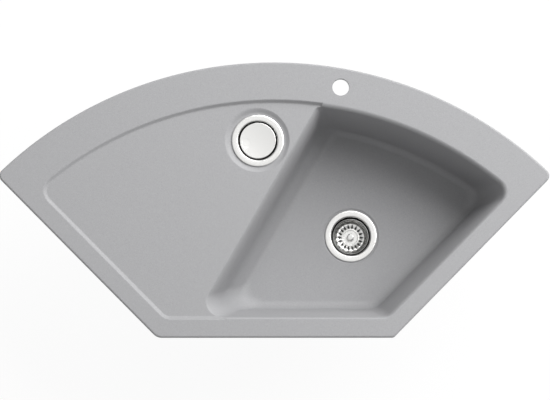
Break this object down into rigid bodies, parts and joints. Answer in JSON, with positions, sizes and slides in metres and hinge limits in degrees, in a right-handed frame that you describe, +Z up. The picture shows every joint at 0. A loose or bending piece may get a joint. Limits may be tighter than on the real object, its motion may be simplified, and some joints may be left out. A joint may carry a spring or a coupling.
{
  "type": "corner kitchen sink",
  "caption": "Inset corner kitchen sink of stone composite, with a lidded waste in the drainboard on the left, a deep bowl with a basket strainer on the right, and pipes that join both wastes.",
  "frame": {"origin": "on the worktop's top face, under the middle of the sink's width and depth; it lies in the plane of the sealing strip's underside", "axes": "+X to the right along the straight front edge, +Y from the front edge to the curved back, +Z up out of the bowl"},
  "size_m": [1.1398, 0.575, 0.362],
  "materials": {
    "granite": "matte",
    "steel": "satin",
    "zinc": "satin",
    "brass": "satin",
    "rubber": "matte",
    "plastic": "satin"
  },
  "bodies": {
    "sink": {"sink_body": "granite", "rim_strip": "rubber", "clamp_arms": "zinc", "clamp_screws": "zinc", "clamp_inserts": "brass", "bowl_flange": "steel", "bowl_flange_seal": "rubber", "bowl_waste_body": "plastic", "bowl_body_seal": "rubber", "bowl_waste_screw": "steel", "bowl_screw_insert": "brass", "drainer_flange": "steel", "drainer_flange_seal": "rubber", "drainer_waste_body": "plastic", "drainer_body_seal": "rubber", "drainer_waste_screw": "steel", "drainer_screw_insert": "brass", "link_pipe": "plastic", "outlet_tee": "plastic", "bowl_union_nut": "plastic", "bowl_union_washer": "rubber", "drainer_union_nut": "plastic", "drainer_union_washer": "rubber", "inlet_nut": "plastic", "inlet_washer": "rubber"},
    "basket": {"strainer_basket": "steel", "basket_plate": "steel", "basket_knob": "steel", "basket_seal": "rubber"},
    "lid": {"drainer_lid": "steel", "drainer_basket": "steel", "drainer_plate": "steel", "lid_stem": "steel", "drainer_seal": "rubber"}
  },
  "joints": [
    {"name": "basket_lift", "type": "slide", "parent": "sink", "child": "basket", "axis": [0, 0, 1], "range_m": [0, 0.06]},
    {"name": "lid_lift", "type": "slide", "parent": "sink", "child": "lid", "axis": [0, 0, 1], "range_m": [0, 0.06]}
  ]
}
